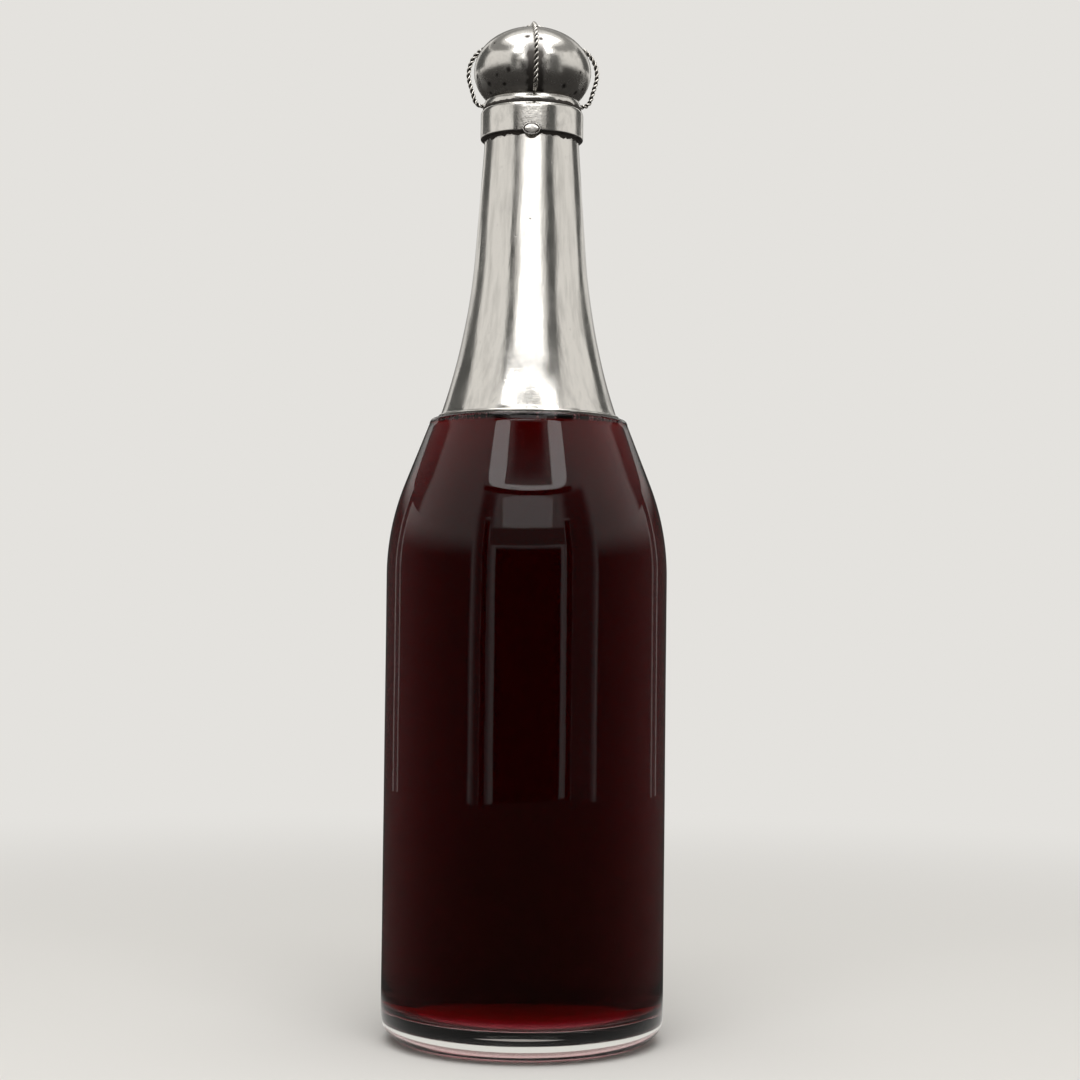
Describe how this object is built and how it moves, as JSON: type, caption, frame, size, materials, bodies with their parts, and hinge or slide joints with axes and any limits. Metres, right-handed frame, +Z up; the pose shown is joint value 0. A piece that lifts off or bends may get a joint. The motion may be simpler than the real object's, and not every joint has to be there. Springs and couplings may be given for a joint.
{
  "type": "glass decanter with red wine",
  "caption": "Bottle-shaped clear glass decanter of red wine with a silver neck sleeve, a collar and a flattened ball stopper under a rope-twist wire cage.",
  "frame": {"origin": "centre of the base, on the surface it stands on", "axes": "+Z up along the bottle's axis, -Y towards the front, where the collar's catch is"},
  "size_m": [0.09, 0.09, 0.3269],
  "materials": {
    "clear_glass": "polished",
    "red_wine": "clear liquid",
    "old_silver": "polished, lightly tarnished and scratched",
    "cork": "matte"
  },
  "bodies": {
    "root": {"bottle_glass": "clear_glass", "wine": "red_wine", "neck_sleeve": "old_silver", "collar": "old_silver", "collar_catch": "old_silver", "stopper_plug": "cork", "stopper_ring": "old_silver", "stopper_ball": "old_silver", "crown_knot": "old_silver", "cage_wire_1": "old_silver", "cage_wire_2": "old_silver", "cage_wire_3": "old_silver"}
  },
  "joints": []
}
